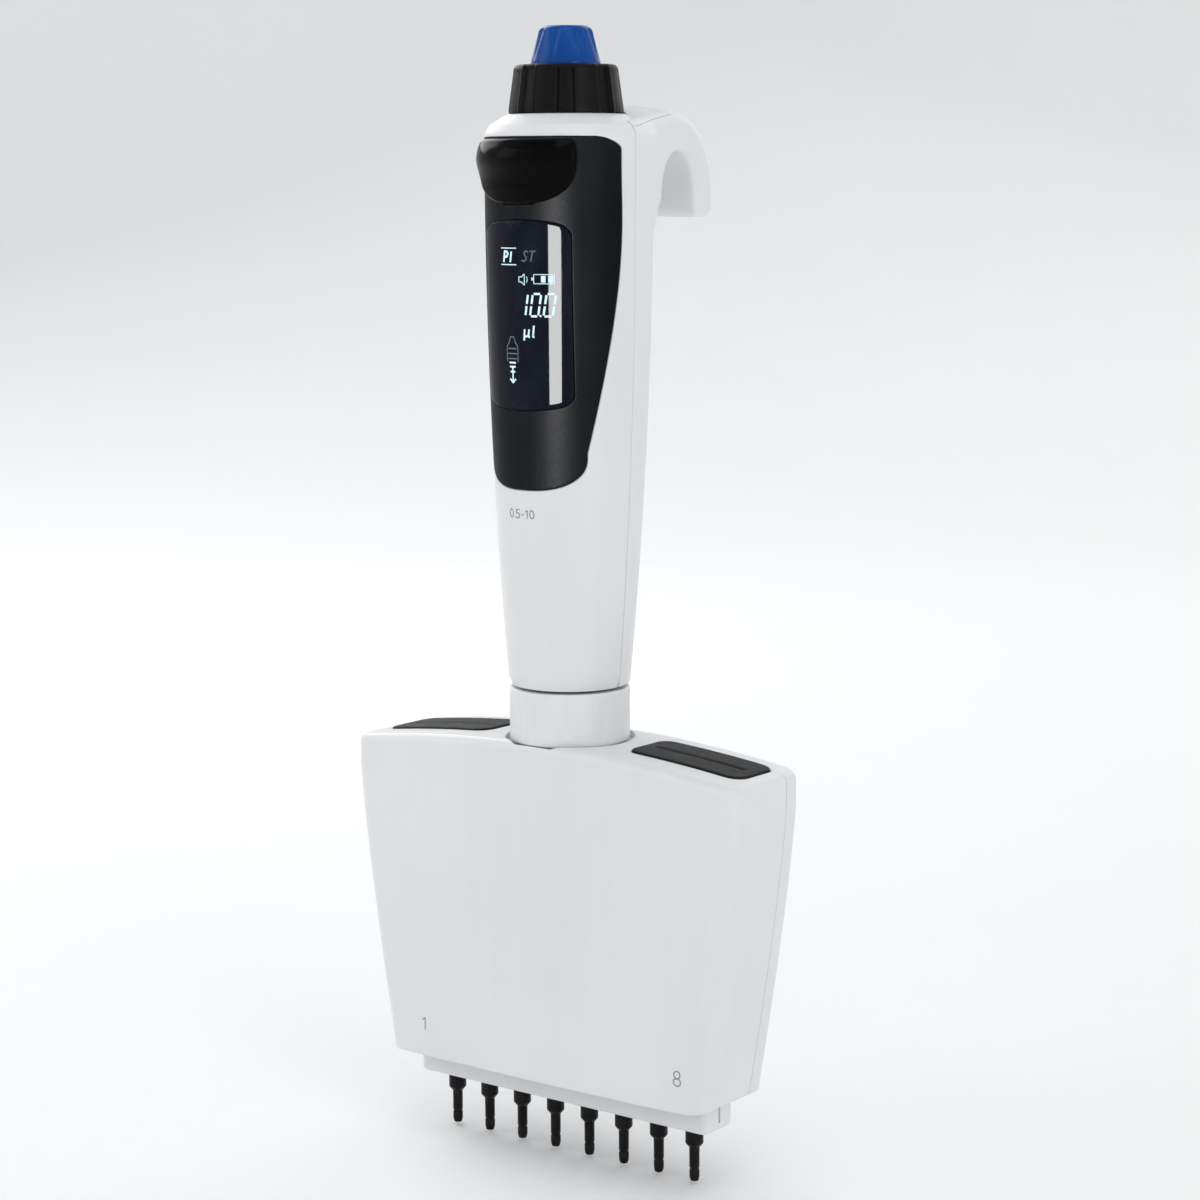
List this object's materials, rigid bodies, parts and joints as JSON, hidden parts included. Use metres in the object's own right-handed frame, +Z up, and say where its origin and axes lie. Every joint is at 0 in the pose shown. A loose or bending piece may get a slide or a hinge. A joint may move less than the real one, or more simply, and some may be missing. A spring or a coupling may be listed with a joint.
{
  "type": "adjustable micropipette",
  "caption": "Electronic multichannel micropipette with a rest hook, display, start button and volume ring, carrying a wide manifold of tip cones with a tip ejector bar.",
  "frame": {"origin": "crest of the saddle under the rest hook, where the pipette hangs", "axes": "+Z up along the handle, -Y towards the display, +Y towards the hook, +X to the right of the display"},
  "size_m": [0.0986, 0.0535, 0.2326],
  "materials": {
    "white_shell": "satin moulded white",
    "black_panel": "fine spark-eroded texture",
    "black_grip": "matte ribbed",
    "black_gloss": "piano gloss",
    "screen": "tinted clear window over a lit display",
    "blue_cap": "satin moulded blue",
    "dark_insert": "fine texture",
    "cone_black": "carbon filled",
    "steel": "ground",
    "zinc_screw": "plated",
    "natural_plastic": "natural acetal",
    "grey_plastic": "moulded grey",
    "aluminium_plate": "bead blasted",
    "circuit": "solder mask",
    "cell_wrap": "shrink sleeve",
    "gold_contact": "gold plated",
    "light_lens": "frosted lens",
    "seal": "silicone"
  },
  "bodies": {
    "handle": {"front_housing": "white_shell", "rear_housing": "white_shell", "top_cap": "white_shell", "front_panel": "black_panel", "display_window": "screen", "display_module": "grey_plastic", "main_board": "circuit", "battery": "cell_wrap", "motor": "steel", "motor_bracket": "grey_plastic", "drive_guide": "natural_plastic", "switch_board": "circuit", "start_switch": "grey_plastic", "swivel_spigot": "grey_plastic", "retaining_clip": "steel", "hook_light": "light_lens", "charging_contacts": "gold_contact", "housing_screws": "zinc_screw", "button_spring": "steel", "ejector_spring": "steel"},
    "ring": {"volume_ring": "black_grip"},
    "button": {"start_button": "blue_cap"},
    "ejector": {"ejector_key": "black_gloss", "key_bracket": "grey_plastic", "ejector_rod": "steel", "push_sleeve": "natural_plastic"},
    "collar": {"locking_collar": "white_shell"},
    "drive": {"drive_rod": "steel"},
    "manifold": {"front_shell": "white_shell", "rear_shell": "white_shell", "left_insert": "dark_insert", "right_insert": "dark_insert", "swivel_neck": "grey_plastic", "channel_block": "aluminium_plate", "tip_cone_1": "cone_black", "tip_cone_2": "cone_black", "tip_cone_3": "cone_black", "tip_cone_4": "cone_black", "tip_cone_5": "cone_black", "tip_cone_6": "cone_black", "tip_cone_7": "cone_black", "tip_cone_8": "cone_black", "piston_seals": "seal", "guide_rods": "steel", "shell_screws": "zinc_screw", "return_springs": "steel"},
    "carriage": {"piston_plate": "aluminium_plate", "piston_stem": "steel", "pistons": "steel"},
    "stripper": {"ejector_bar": "white_shell", "ejector_yoke": "natural_plastic", "ejector_links": "steel"}
  },
  "joints": [
    {"name": "ring_turn", "type": "hinge", "parent": "handle", "child": "ring", "pos_m": [0, -0.0194, 0.0122], "axis": [0, 0, 1], "continuous": true},
    {"name": "start_press", "type": "slide", "parent": "handle", "child": "button", "axis": [0, 0, -1], "range_m": [0, 0.002], "stiffness_N_per_m": 500, "springref_m": -0.002, "deforming": ["button_spring"]},
    {"name": "eject_press", "type": "slide", "parent": "handle", "child": "ejector", "axis": [0, 0, -1], "range_m": [0, 0.005], "stiffness_N_per_m": 400, "springref_m": -0.003, "deforming": ["ejector_spring"]},
    {"name": "collar_lock", "type": "hinge", "parent": "handle", "child": "collar", "pos_m": [0, -0.0194, -0.1138], "axis": [0, 0, 1], "range_deg": [0, 50]},
    {"name": "drive_feed", "type": "slide", "parent": "handle", "child": "drive", "axis": [0, 0, -1], "range_m": [0, 0.01]},
    {"name": "head_turn", "type": "hinge", "parent": "handle", "child": "manifold", "pos_m": [0, -0.0194, -0.1178], "axis": [0, 0, 1], "continuous": true},
    {"name": "piston_feed", "type": "slide", "parent": "manifold", "child": "carriage", "axis": [0, 0, -1], "range_m": [0, 0.01], "stiffness_N_per_m": 100, "springref_m": -0.01, "deforming": ["return_springs"]},
    {"name": "strip_slide", "type": "slide", "parent": "manifold", "child": "stripper", "axis": [0, 0, -1], "range_m": [0, 0.005], "stiffness_N_per_m": 200, "springref_m": -0.003}
  ],
  "couplings": [
    {"joint": "piston_feed", "follows": "drive_feed", "ratio": 1},
    {"joint": "strip_slide", "follows": "eject_press", "ratio": 1}
  ]
}
